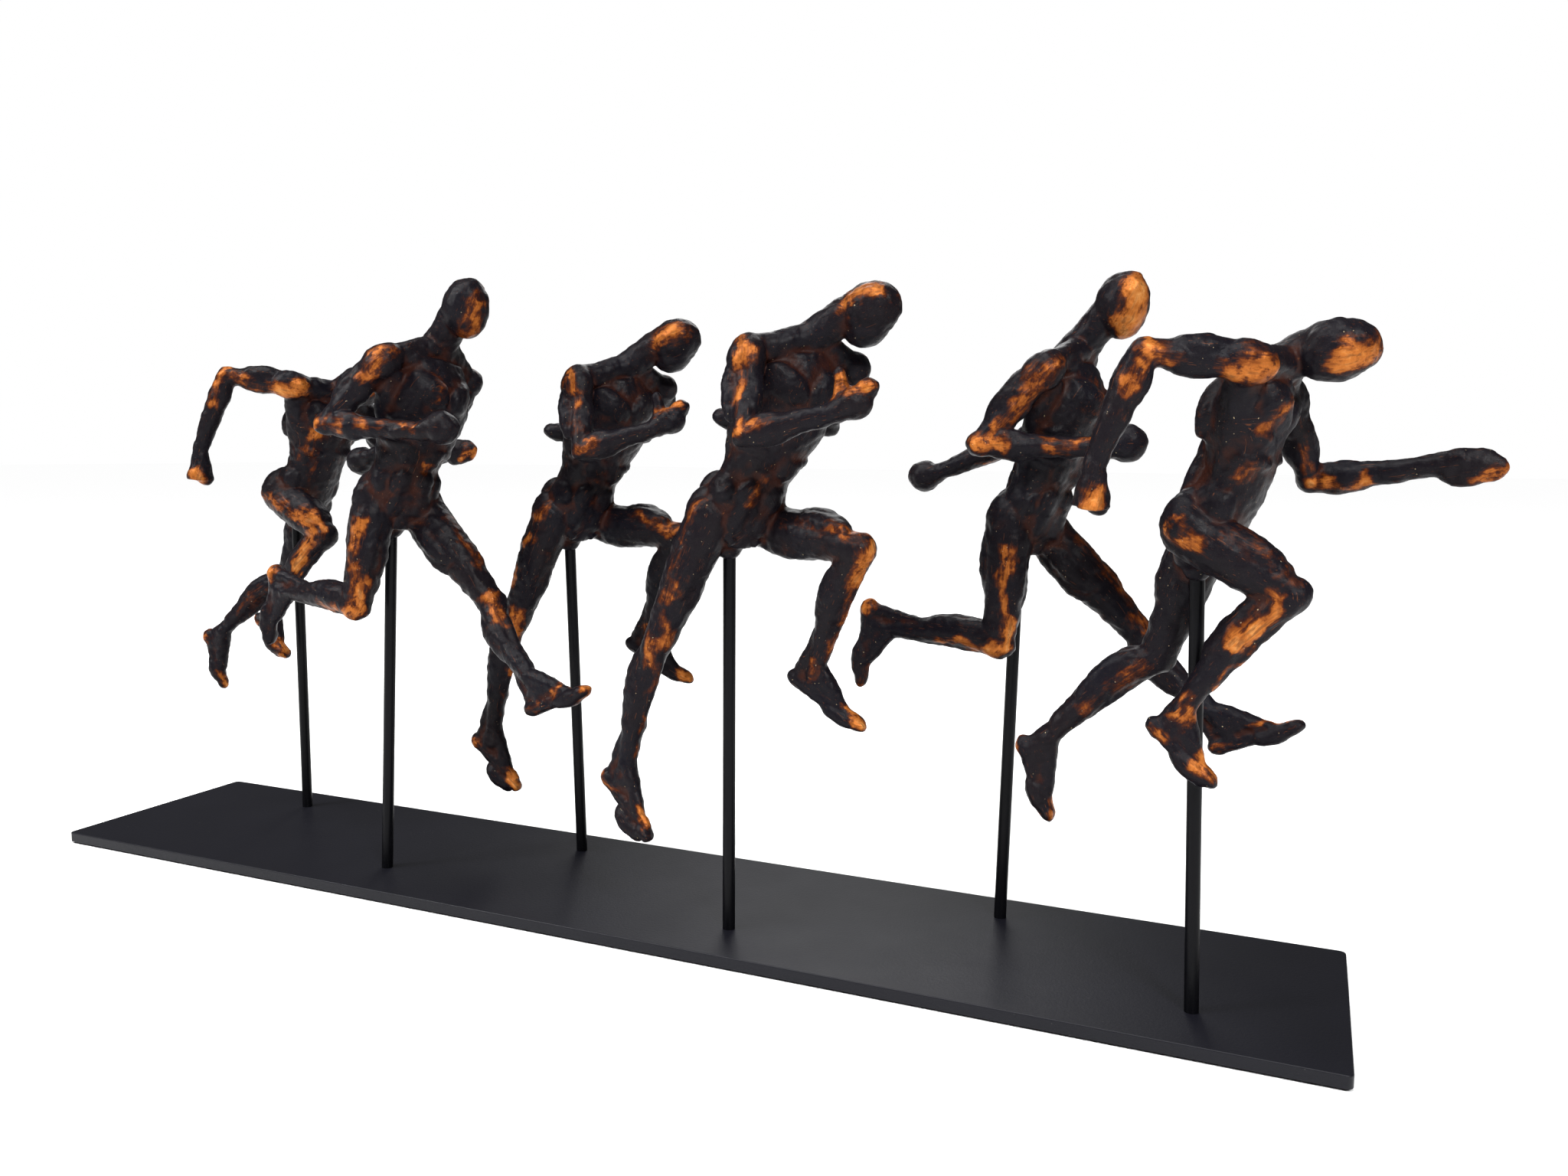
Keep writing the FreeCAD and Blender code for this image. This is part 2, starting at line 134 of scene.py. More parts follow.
REACHER = {
    "seat": (1, 0, 2), "pelvis": (2, 0, 14), "waist": (12, 0, 31), "chest": (15, -1, 52),
    "yoke": (21, 0, 64), "neck": (26, 0, 67), "head": (41, -4, 70), "crown": (51, -2, 71),
    "right_shoulder": (18, -22, 66), "right_elbow": (-14, -36, 70),
    "right_wrist": (-28, -37, 36), "right_fist": (-29, -36, 26),
    "left_shoulder": (25, 20, 59), "left_elbow": (34, 35, 29),
    "left_wrist": (68, 29, 33), "left_fist": (80, 27, 35), "left_finger": (90, 26, 36),
    "right_hip": (-2, -10, 15), "right_knee": (29, -12, -6), "right_ankle": (-4, -11, -45),
    "right_heel": (-11, -11, -51), "right_toe": (6, -13, -67),
    "left_hip": (1, 11, 11), "left_knee": (-14, 12, -31), "left_ankle": (-51, 7, -61),
    "left_heel": (-59, 7, -65), "left_toe": (-51, 10, -90),
}
# The back left runner was bent a little further out of the same mould as the front right one.
BENT_REACHER = {
    **REACHER,
    "right_shoulder": (18, -22, 68), "right_elbow": (-14, -36, 71),
    "right_wrist": (-28, -37, 34), "right_fist": (-29, -36, 22),
    "left_wrist": (67, 29, 38), "left_fist": (79, 27, 42), "left_finger": (89, 26, 44),
    "left_knee": (-15, 12, -30), "left_ankle": (-53, 7, -60),
    "left_heel": (-62, 7, -64), "left_toe": (-55, 10, -89),
}
ARMATURES = {"strider": STRIDER, "driver": DRIVER, "reacher": REACHER,
             "bent_reacher": BENT_REACHER}
# The hands each figure has: a ball of a fist, a fist with its thumb up, a flat-ended mitten,
# a small point, or an open palm.
HANDS = {
    "strider": {"right": "ball", "left": "ball"},
    "driver": {"right": "thumb", "left": "point"},
    "reacher": {"right": "mitten", "left": "palm"},
    "bent_reacher": {"right": "mitten", "left": "palm"},
}
# How full each casting's clay is, in mm: the back of its upper arms, its calves, its jaw, its
# nape, the small of its back, its shoulder blades and its belly. Then the side of the leg it
# lifts, the top and the underside of that thigh, and the soles of the lifted and the other foot.
BUILD = {
    "strider": {"arm_back": 4.2, "calf": 3.4, "jaw": 2.6, "nape": 5.6, "back": 8.2,
                "blade": 6.0, "belly": 9.0, "lifted": "left", "thigh_top": 0.0,
                "thigh_under": 1.4, "lifted_sole": 0.9, "sole": 1.4},
    "driver": {"arm_back": 5.8, "calf": 3.8, "jaw": 5.2, "nape": 1.6, "back": 11.4,
               "blade": 6.0, "belly": 9.0, "lifted": "left", "thigh_top": 2.2,
               "thigh_under": 0.0, "lifted_sole": 1.6, "sole": 5.0},
    "reacher": {"arm_back": 3.0, "calf": 4.0, "jaw": 0.6, "nape": 3.0, "back": 8.6,
                "blade": 8.2, "belly": 6.4, "lifted": "right", "thigh_top": 1.4,
                "thigh_under": -1.4, "lifted_sole": 1.6, "sole": 1.2},
}
BUILD["bent_reacher"] = BUILD["reacher"]
print("joints in each armature:", {name: len(wire) for name, wire in ARMATURES.items()})

# %% [markdown]
# ## Lumps and tapers
#
# Almost all of a figure is two kinds of clay: a rolled lump pressed on, and a tapered roll
# between two joints. In Blender they are a sphere, stretched along one direction, and a cone.
# Both are added in edit mode, so that a whole figure grows in one mesh.


# %% Directions
def facing(along, across):
    """A turn whose Z lies along one direction, with its X as near as can be to another."""
    z = along.normalized()
    x = (across - z * across.dot(z)).normalized()
    return Matrix((x, z.cross(x), z)).transposed()


def square_to(way, axis):
    """The part of a direction that stands square to an axis, as a unit vector."""
    axis = axis.normalized()
    return (way - axis * way.dot(axis)).normalized()


UP = Vector((0, 0, 1))
FORWARD = Vector((1, 0, 0))
LEFT = Vector((0, 1, 0))
SIDES = {"right": -LEFT, "left": LEFT}


# %% Clay
BALL_STEPS = 3
ROLL_SIDES = 20


def lump(at, along, across, halves):
    """Presses an ellipsoid on. Its half sizes are across, through and along, in mm."""
    bpy.ops.mesh.primitive_ico_sphere_add(
        subdivisions=BALL_STEPS, radius=MM, location=at * MM,
        rotation=facing(along, across).to_euler(), scale=halves)


def taper(start, end, first, last):
    """Lays a tapered roll of clay between two points. The radii are in mm."""
    way = end - start
    bpy.ops.mesh.primitive_cone_add(
        vertices=ROLL_SIDES, radius1=first * MM, radius2=last * MM, depth=way.length * MM,
        location=(start + end) / 2 * MM, rotation=way.to_track_quat("Z", "X").to_euler())


def roll(stops):
    """A roll of clay through several (point, radius) stops, rounded at each."""
    for at, radius in stops:
        lump(at, UP, FORWARD, (radius, radius, radius))
    for (start, first), (end, last) in zip(stops, stops[1:]):
        taper(start, end, first, last)


# %% [markdown]
# ## The trunk
#
# The spine is a row of five joints. Ellipses are threaded on it, closer together than the
# joints, and their rings are bridged into a tube. Lumps on that core give it ribs, breast and
# belly muscles, shoulder blades and buttocks.

# %% Trunk sections: joint, half width and half depth
TRUNK = [("seat", 7.0, 7.5), ("pelvis", 15.5, 11.5), ("waist", 14.3, 10.2),
         ("chest", 18.8, 13.2), ("yoke", 13.5, 8.6)]
RINGS_PER_JOINT = 3
RING_SIDES = 32


def smooth_step_through(values, share):
    """A value on the smooth curve through evenly spaced ones, share counted in steps."""
    k = min(int(share), len(values) - 2)
    t = share - k
    p = [values[max(0, min(len(values) - 1, k + step))] for step in (-1, 0, 1, 2)]
    return 0.5 * (2 * p[1] + (p[2] - p[0]) * t + (2 * p[0] - 5 * p[1] + 4 * p[2] - p[3]) * t ** 2
                  + (3 * p[1] - p[0] - 3 * p[2] + p[3]) * t ** 3)


def joints_of(casting):
    """An armature's joints, as vectors in mm."""
    return {name: Vector(at) for name, at in ARMATURES[casting].items()}


def trunk_frame(wire, share):
    """Place, up, left and front of the spine, share of the way from the seat to the yoke."""
    names = [name for name, _, _ in TRUNK]
    steps = share * (len(names) - 1)
    at = smooth_step_through([wire[n] for n in names], steps)
    ahead = smooth_step_through([wire[n] for n in names], min(steps + 0.2, len(names) - 1))
    behind = smooth_step_through([wire[n] for n in names], max(steps - 0.2, 0))
    up = (ahead - behind).normalized()
    hips = (wire["left_hip"] - wire["right_hip"]).normalized()
    shoulders = (wire["left_shoulder"] - wire["right_shoulder"]).normalized()
    left = square_to(hips.lerp(shoulders, share), up)
    return at, up, left, left.cross(up)


def trunk_core(wire):
    """Bridges ellipses up the spine into a closed tube."""
    rings = (len(TRUNK) - 1) * RINGS_PER_JOINT
    for ring in range(rings + 1):
        share = ring / rings
        at, up, left, _ = trunk_frame(wire, share)
        steps = share * (len(TRUNK) - 1)
        wide = smooth_step_through([w for _, w, _ in TRUNK], steps)
        deep = smooth_step_through([d for _, _, d in TRUNK], steps)
        bpy.ops.mesh.primitive_circle_add(
            vertices=RING_SIDES, radius=deep * MM, location=at * MM,
            fill_type="NGON" if ring in (0, rings) else "NOTHING",
            rotation=facing(up, left).to_euler())
        bpy.ops.transform.resize(value=(wide / deep, 1, 1), orient_matrix=facing(up, left),
                                 orient_type="GLOBAL", orient_matrix_type="GLOBAL",
                                 center_override=at * MM)
    bpy.ops.mesh.select_all(action="SELECT")
    bpy.ops.mesh.bridge_edge_loops()
    bpy.ops.mesh.select_all(action="SELECT")
    bpy.ops.mesh.normals_make_consistent(inside=False)
    bpy.ops.mesh.select_all(action="DESELECT")


# %% Trunk muscles
def on_trunk(wire, share, front, side):
    """A point beside the spine: mm to the front of it, and mm to the left."""
    at, _, left, ahead = trunk_frame(wire, share)
    return at + ahead * front + left * side


def belly(wire, build):
    """Two soft columns of belly muscles, the flanks, and the folds between belly and thigh."""
    for share, height in ((0.27, 7.0), (0.42, 6.4), (0.56, 6.0)):
        _, up, left, _ = trunk_frame(wire, share)
        for side in (-1, 1):
            lump(on_trunk(wire, share, build["belly"], 4.6 * side), up, left, (5.2, 2.7, height))
    for side in (-1, 1):
        _, up, left, _ = trunk_frame(wire, 0.34)
        lump(on_trunk(wire, 0.36, 1.0, 11.6 * side), up, left, (4.4, 7.2, 9.0))
        lump(on_trunk(wire, 0.30, 2.6 - build["back"], 8.5 * side), up, left, (6.4, 5.6, 9.0))
        for share, out, in_share in ((0.30, 13.6, 0.13), (0.22, 14.4, 0.05)):
            taper(on_trunk(wire, share, 2.5, out * side),
                  on_trunk(wire, in_share, 8.2, 4.5 * side), 2.6, 1.5)


def chest(wire, shoulders, build):
    """Ribs, breast muscles, and the muscles that run from the back to each arm."""
    for side, name in ((-1, "right"), (1, "left")):
        _, up, left, ahead = trunk_frame(wire, 0.8)
        shoulder = shoulders[name]
        breast = on_trunk(wire, 0.80, 9.0, 8.0 * side)
        lump(breast, (shoulder - breast), up, (7.0, 4.4, 9.6))
        for share, out in ((0.58, 11.0), (0.67, 12.4)):
            lump(on_trunk(wire, share, 5.6, out * side), left * side - ahead, up,
                 (2.8, 3.2, 7.6))
        flank = on_trunk(wire, 0.72, 1.0 - build["blade"], 12.5 * side)
        taper(flank.lerp(shoulder, 0.72), on_trunk(wire, 0.50, -2.5, 10.5 * side), 6.2, 3.4)
        lump(on_trunk(wire, 0.74, -build["blade"], 9.5 * side), up, left, (6.0, 5.0, 11.0))
        lump(on_trunk(wire, 0.90, -0.4 - build["blade"], 9.0 * side), up + left * 0.5 * side, left,
             (5.6, 3.4, 9.0))
        taper(on_trunk(wire, 0.95, -6.6, 3.4 * side), on_trunk(wire, 0.34, -build["back"], 3.8 * side),
              4.6, 3.8)


def seat_of(wire, hips, build):
    """Buttocks, and the clay that wraps the top of the rod."""
    _, up, left, ahead = trunk_frame(wire, 0.22)
    full = build["back"] * 0.5 - 2.2
    for side, name in ((-1, "right"), (1, "left")):
        lump(hips[name] - ahead * full + up * 1.4 + left * 0.4 * side, up, left, (8.0, 7.4, 9.8))
    roll([(Vector((0, 0, 6)), 7.0), (Vector((0, 0, 1.0)), 4.6)])


# %% [markdown]
# ## Legs
#
# A leg bends in one plane, so each of its bones gets a front and an outside. The thigh's front
# comes from the way the knee bends, with a little help from the foot when the leg is straight.


# %% Bones with a front and an outside
def leg_bones(wire, side):
    """Thigh, shin and foot: start, end, front and outside of each, in mm."""
    hip, knee, ankle = (wire[f"{side}_{n}"] for n in ("hip", "knee", "ankle"))
    heel, toe = wire[f"{side}_heel"], wire[f"{side}_toe"]
    shin_front = square_to(toe - heel, ankle - knee)
    thigh = (knee - hip).normalized()
    bend = (knee - ankle).normalized()
    thigh_front = square_to(bend - thigh * bend.dot(thigh) + shin_front * 0.35, knee - hip)
    foot_top = square_to(ankle - heel, toe - heel)
    bones = {"thigh": (hip, knee, thigh_front), "shin": (knee, ankle, shin_front),
             "foot": (heel, toe, foot_top)}
    placed = {}
    for name, (start, end, front) in bones.items():
        outside = front.cross(end - start).normalized()
        placed[name] = (start, end, front, outside * math.copysign(1, outside.dot(SIDES[side])))
    return placed


def arm_bones(wire, side):
    """Upper arm and forearm. Their front is the hollow side of the elbow."""
    shoulder, elbow, wrist = (wire[f"{side}_{n}"] for n in ("shoulder", "elbow", "wrist"))
    hollow = (shoulder + wrist) / 2 - elbow
    placed = {}
    for name, (start, end) in {"upper": (shoulder, elbow), "fore": (elbow, wrist)}.items():
        front = square_to(hollow, end - start)
        outside = front.cross(end - start).normalized()
        placed[name] = (start, end, front, outside * math.copysign(1, outside.dot(SIDES[side])))
    return placed


def on_bone(bone, share, front=0.0, out=0.0):
    """A point share of the way down a bone, moved mm to its front and to its outside."""
    start, end, ahead, outside = bone
    return start.lerp(end, share) + ahead * front + outside * out


def muscle(bone, share, front, out, halves):
    """A lump along a bone. Its half sizes are across, through and along."""
    start, end, _, outside = bone
    lump(on_bone(bone, share, front, out), end - start, outside, halves)


# %% Leg
def leg(wire, side, build):
    bones = leg_bones(wire, side)
    thigh, shin, foot = bones["thigh"], bones["shin"], bones["foot"]
    calf = build["calf"]
    roll([(on_bone(thigh, 0.0), 9.4), (on_bone(thigh, 0.4), 8.9), (on_bone(thigh, 0.82), 6.8),
          (on_bone(thigh, 1.0), 6.1), (on_bone(shin, 0.18, -calf * 0.55), 5.7),
          (on_bone(shin, 0.42, -calf), 6.0), (on_bone(shin, 0.68, -calf * 0.45), 4.9),
          (on_bone(shin, 1.0), 3.5)])
    lifted = side == build["lifted"]
    top, under = (build["thigh_top"], build["thigh_under"]) if lifted else (0.0, 0.0)
    sole = build["lifted_sole"] if lifted else build["sole"]
    muscle(thigh, 0.42 + top * 0.06, 3.4 + top, 1.6, (5.8, 5.6, 17.0 - top))   # outer front
    muscle(thigh, 0.50 + top * 0.06, 3.2 + top, -2.2, (5.0, 5.2, 15.0 - top))      # inner front
    muscle(thigh, 0.78, 2.6, -3.0, (3.2, 3.4, 6.8))        # the drop above the knee
    muscle(thigh, 0.30, -4.9 - under, 1.8, (4.6, 5.4, 16.0))       # back of the thigh
    muscle(thigh, 0.28, -5.0 - under, -2.0, (4.8, 5.4, 15.0))
    muscle(thigh, 1.0, 3.1, 0.0, (4.0, 3.5, 5.0))          # kneecap
    muscle(shin, 0.10, 2.4, 0.0, (3.0, 2.6, 5.4))
    muscle(shin, 0.36, -calf - 1.4, -1.7, (4.0, 4.8, 15.0))        # two heads of the calf
    muscle(shin, 0.32, -calf - 1.0, 1.9, (3.8, 4.8, 14.0))
    taper(on_bone(shin, 0.08, 2.6), on_bone(shin, 0.92, 1.4), 2.3, 1.6)      # shin bone
    taper(on_bone(shin, 0.5, -2.8), on_bone(foot, 0.0, 1.5), 2.6, 2.5)       # heel tendon
    for out in (-2.6, 2.6):
        muscle(shin, 1.0, 0.0, out, (1.7, 1.9, 2.3))       # ankle bones
    walk = foot[1] - foot[0]
    lump(on_bone(foot, 0.03, 0.3), walk, foot[3], (3.8, 3.7, 5.0))
    taper(on_bone(foot, 0.05), on_bone(foot, 0.72), 3.2, 2.8)
    taper(on_bone(shin, 0.98), on_bone(foot, 0.70, 1.3), 3.7, 2.9)
    taper(on_bone(shin, 0.98), on_bone(foot, 0.2, 1.0), 3.5, 3.4)
    middle = foot[0].lerp(foot[1], 0.34).lerp(shin[1], 0.5)
    lump(middle, walk, foot[3], (3.5, 4.6, 7.5))           # fills the arch of the foot
    lump(on_bone(foot, 0.68, -sole), walk, foot[3], (4.8, 3.8, 8.8))
    lump(on_bone(foot, 0.94, 0.3 - sole * 0.4), walk, foot[3], (4.0, 2.8, 4.8))
    taper(on_bone(foot, 0.5, 1.0), on_bone(foot, 0.95, 0.5), 3.0, 2.2)


# %% [markdown]
# ## Arms and hands
#
# The hands are hardly more than the end of the roll: a thumbed ball, a cut stub, a dented palm.


# %% Arm
def arm(wire, side, hand, build):
    bones = arm_bones(wire, side)
    upper, fore = bones["upper"], bones["fore"]
    roll([(on_bone(upper, 0.0), 6.6), (on_bone(upper, 0.5), 4.9), (on_bone(upper, 1.0), 4.3),
          (on_bone(fore, 0.3), 5.2), (on_bone(fore, 0.7), 4.2), (on_bone(fore, 1.0), 3.6)])
    muscle(upper, 0.10, 0.0, 2.0, (5.8, 7.2, 9.6))         # shoulder cap
    muscle(upper, 0.54, 2.2, 0.0, (4.0, 4.0, 11.0))        # inside of the upper arm
    muscle(upper, 0.46, -build["arm_back"], 0.4, (4.4, 4.2, 13.0))       # and its back
    muscle(upper, 0.98, -2.0, 0.0, (3.2, 3.0, 4.6))        # point of the elbow
    muscle(fore, 0.24, 1.6, 1.4, (3.8, 4.3, 10.0))
    muscle(fore, 0.30, -2.2, -0.4, (3.8, 3.6, 11.5))
    HAND_MAKERS[hand](wire, side, fore)


# %% Hands
def ball_hand(wire, side, fore):
    fist = wire[f"{side}_fist"]
    taper(fore[1], fist, 3.9, 5.8)
    lump(fist, fist - fore[1], fore[3], (6.9, 6.8, 7.3))
    lump(fist + fore[3] * 2.2 + fore[2] * 1.8, fore[2], fore[3], (3.0, 3.2, 3.6))


def thumb_hand(wire, side, fore):
    """A fist whose knuckles come to a point, with the thumb standing up behind them."""
    fist = wire[f"{side}_fist"]
    reach = (fist - fore[1]).normalized()
    taper(fore[1], fist, 4.2, 5.8)
    lump(fist - UP * 0.8, reach, fore[3], (5.4, 6.4, 6.8))
    lump(fist + reach * 4.0 + UP * 1.6, FORWARD + UP * 0.6, LEFT, (4.0, 3.6, 5.6))
    taper(fist - reach * 5.0 + UP * 2.0, fist - FORWARD * 5.5 + UP * 8.0, 3.2, 2.4)
    lump(fist - FORWARD * 5.8 + UP * 8.6, UP, LEFT, (2.5, 2.4, 3.2))


def mitten_hand(wire, side, fore):
    """Fingers pressed together and cut off square."""
    fist = wire[f"{side}_fist"]
    reach = (fist - fore[1]).normalized()
    end = fist + reach * 2.8
    taper(fore[1], end, 3.6, 6.4)
    lump(fist - reach * 1.5, reach, fore[3], (4.6, 5.4, 5.0))
    lump(end + fore[2] * 3.0, reach, fore[3], (3.2, 2.6, 1.6))


def point_hand(wire, side, fore):
    fist = wire[f"{side}_fist"]
    taper(fore[1], fist, 4.2, 4.4)
    lump(fist, fist - fore[1], fore[3], (4.4, 4.0, 6.2))
    taper(fist, fist + (fist - fore[1]).normalized() * 6.0, 3.8, 1.2)


def palm_hand(wire, side, fore):
    """An open hand: a deep palm, the fingers as one blade, and the stub of a thumb on top."""
    palm, finger = wire[f"{side}_fist"], wire[f"{side}_finger"]
    reach = (finger - fore[1]).normalized()
    taper(fore[1], palm, 3.6, 4.6)
    lump(palm - UP * 2.0, reach, LEFT, (3.8, 6.6, 9.2))
    lump(palm + reach * 5.4 - UP * 3.1, reach, LEFT, (3.0, 5.0, 7.0))
    taper(palm + reach * 4.0 - UP * 1.5, finger - reach * 2.0 - UP * 2.3, 4.0, 2.0)
    lump(finger - reach * 5.2 + UP * 1.8, reach, LEFT, (1.8, 1.6, 3.0))


HAND_MAKERS = {"ball": ball_hand, "thumb": thumb_hand, "mitten": mitten_hand,
               "point": point_hand, "palm": palm_hand}


# %% [markdown]
# ## Neck and head
#
# The heads are smooth eggs with no face at all. Only a jaw line and the flow of the neck into
# the back of the skull say which way a runner looks.


# %% Head
def head(wire, build):
    """Egg, jaw, neck and the muscles from the neck to the shoulders."""
    centre, yoke, neck = wire["head"], wire["yoke"], wire["neck"]
    axis = (wire["crown"] - centre).normalized()
    face = square_to(LEFT.cross(axis), axis)
    lump(centre, axis, LEFT, (9.4, 9.9, 12.7))
    lump(centre - axis * 3.6 + face * build["jaw"], axis, LEFT, (7.6, 7.2, 8.8))
    roll([(yoke, 7.0), (neck, 5.6), (centre - axis * 4.0 - face * 1.5, 5.6)])
    taper(yoke - FORWARD * build["nape"], centre - axis * 3.0 - face * 3.2, 6.8, 6.6)
    for side in ("right", "left"):
        shoulder = wire[f"{side}_shoulder"]
        taper(neck.lerp(centre, 0.12), shoulder.lerp(neck, 0.12) + UP * 0.6, 5.2, 4.6)
        lump(shoulder.lerp(yoke, 0.55) + UP * 0.5, shoulder - yoke, UP, (5.6, 6.6, 11.0))


# %% [markdown]
# ## From lumps to one skin
#
# The lumps pass through each other. A voxel remesh wraps them in one even skin, as a mould
# would, and smoothing presses the joints between them together. Two displacements then give
# the skin the dents of fingers and tools.

# %% Sculpting one casting
VOXEL = 0.66 * MM
SMOOTHINGS = 7
# Name, size, depth (both in mm) and detail of each pattern of dents.
DENTS = [("dents", 9.0, 1.4, 1), ("thumb_marks", 5.0, 0.9, 1), ("tool_marks", 2.4, 0.5, 2)]


def apply(piece, kind, **settings):
    """Adds a modifier to the active piece, sets it and applies it."""
    modifier = piece.modifiers.new(kind.lower(), kind)
    for name, value in settings.items():
        setattr(modifier, name, value)
    bpy.ops.object.modifier_apply(modifier=modifier.name)


def clouds(name, size, detail):
    """A soft cloud pattern for Displace, the same every time."""
    pattern = bpy.data.textures.new(name, "CLOUDS")
    pattern.noise_scale = size * MM
    pattern.noise_depth = detail
    return pattern


def sculpt(casting):
    """Builds one casting at the origin, in its armature's own directions."""
    wire = joints_of(casting)
    mesh = bpy.data.meshes.new(casting)
    piece = bpy.data.objects.new(casting, mesh)
    scene.collection.objects.link(piece)
    bpy.context.view_layer.objects.active = piece
    piece.select_set(True)
    bpy.ops.object.mode_set(mode="EDIT")
    trunk_core(wire)
    build = BUILD[casting]
    belly(wire, build)
    chest(wire, {side: wire[side + "_shoulder"] for side in SIDES}, build)
    seat_of(wire, {side: wire[side + "_hip"] for side in SIDES}, build)
    for side in SIDES:
        leg(wire, side, build)
        arm(wire, side, HANDS[casting][side], build)
    head(wire, build)
    bpy.ops.object.mode_set(mode="OBJECT")
    apply(piece, "REMESH", mode="VOXEL", voxel_size=VOXEL, adaptivity=0)
    apply(piece, "SMOOTH", factor=0.5, iterations=SMOOTHINGS)
    for name, size, depth, detail in DENTS:
        apply(piece, "DISPLACE", texture=clouds(f"{casting}_{name}", size, detail),
              texture_coords="LOCAL", strength=depth * MM, mid_level=0.5)
    apply(piece, "SMOOTH", factor=0.5, iterations=1)
    piece.select_set(False)
    print(casting, "has", len(piece.data.polygons), "faces")
    return piece


castings = {name: sculpt(name) for name in ARMATURES}

# %% [markdown]
# ## Setting the castings on their rods
#
# Each casting is copied to two stations. A rod leans a little, and a casting can be turned and
# tipped on its rod, so the copies are moved by the same small angles as in the CAD frame.

# %% Stations: casting, lean, lift in mm, turn and tip in degrees
STATIONS = {
    "back_left": ("bent_reacher", 0.0, 1.0, 4.0, -5.0),
    "front_left": ("strider", 3.0, 3.5, -2.0, -3.5),
    "back_middle": ("driver", -1.8, -4.0, 11.0, 2.5),
    "front_middle": ("driver", 0.0, 1.0, 0.0, 0.0),
    "back_right": ("strider", 1.2, -1.5, 0.0, 0.0),
    "front_right": ("reacher", -1.7, 1.0, 0.0, 0.0),
}
SEAT_HEIGHT = 151.0


def station_place(place):
    """The move that carries a casting from the origin to the top of its rod."""
    _, lean, lift, turn, tip = STATIONS[place]
    low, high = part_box("screw_" + place)
    foot = Vector(((low.x + high.x) / 2, (low.y + high.y) / 2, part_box("base_plate")[1].z))
    lean_turn = Matrix.Rotation(math.radians(lean), 4, "Y")
    pose = Matrix.Rotation(math.radians(tip), 4, "X") @ Matrix.Rotation(math.radians(turn), 4, "Z")
    rise = Matrix.Translation(UP * (SEAT_HEIGHT + lift) * MM)
    return Matrix.Translation(foot) @ lean_turn @ rise @ pose


runners = {}
for place, (casting, *_) in STATIONS.items():
    bpy.ops.object.select_all(action="DESELECT")
    castings[casting].select_set(True)
    bpy.context.view_layer.objects.active = castings[casting]
    bpy.ops.object.duplicate()
    runner = bpy.context.object
    runner.name = "casting_" + place
    runner.matrix_world = station_place(place)
    bpy.ops.object.transform_apply(location=True, rotation=True, scale=True)
    bpy.ops.object.shade_smooth()
    runners[place] = runner
bpy.ops.object.select_all(action="DESELECT")
for casting in castings.values():
    casting.select_set(True)
bpy.ops.object.delete()
print("runners:", sorted(runners))

# %% [markdown]
# ## Where the wax is rubbed away
#
# Copper shows where a cloth caught the casting: along the strokes of a hand, and on whatever
# stands proud. Strokes are laid along the bones. Each skin point remembers three things, each in
# an attribute: how near it is to a stroke, how far it stands out from the skin around it, and
# its place along the limb.

# %% Bones that strokes follow
def stroke_bones(casting):
    """Every bone of an armature with its start, end, front and outside, in mm."""
    wire = joints_of(casting)
    bones = {}
    for side in SIDES:
        for name, bone in {**leg_bones(wire, side), **arm_bones(wire, side)}.items():
            bones[f"{side}_{name}"] = bone
        fist = wire[side + "_fist"]
        fore = bones[side + "_fore"]
        bones[side + "_hand"] = (fore[1], fist, fore[2], fore[3])
    axis = (wire["crown"] - wire["head"]).normalized()
    bones["head"] = (wire["head"], wire["crown"], square_to(LEFT.cross(axis), axis), -LEFT)
    for name, (low, high) in {"belly": (0.25, 0.6), "breast": (0.6, 1.0)}.items():
        start, end = trunk_frame(wire, low), trunk_frame(wire, high)
        bones[name] = (start[0], end[0], end[3], -end[2])
    return bones


# %% Strokes: bone, from, to, angle from its front towards its outside, reach, width, strength
STRIDER_STROKES = [
    ("right_upper", -0.1, 0.3, 80, 7, 7, 0.75), ("right_fore", -0.12, 0.2, 90, 5, 5, 0.85),
    ("right_fore", 0.55, 0.95, 70, 4, 4, 0.7), ("breast", 0.45, 0.75, 25, 13, 6, 0.55),
    ("breast", 0.45, 0.7, -35, 13, 6, 0.5), ("right_thigh", 0.25, 1.0, 75, 8, 4.5, 0.8),
    ("right_thigh", 0.85, 1.02, 50, 7, 6, 1.0), ("right_shin", -0.05, 0.42, 65, 5.5, 5, 0.95),
    ("right_foot", -0.1, 0.05, 60, 3, 4, 0.85), ("right_foot", 0.85, 1.1, 45, 4, 4, 0.7),
    ("left_shin", -0.05, 0.3, -45, 5.5, 6, 0.85), ("left_thigh", 0.25, 0.7, -60, 8, 6, 0.58),
    ("left_foot", 0.5, 1.1, -10, 3.5, 3.2, 0.9), ("left_foot", -0.05, 0.1, -100, 3.5, 3.5, 0.7),
    ("left_fore", 0.1, 0.6, -90, 4, 4, 0.5), ("left_upper", 0.0, 0.25, -60, 7, 6, 0.5),
]
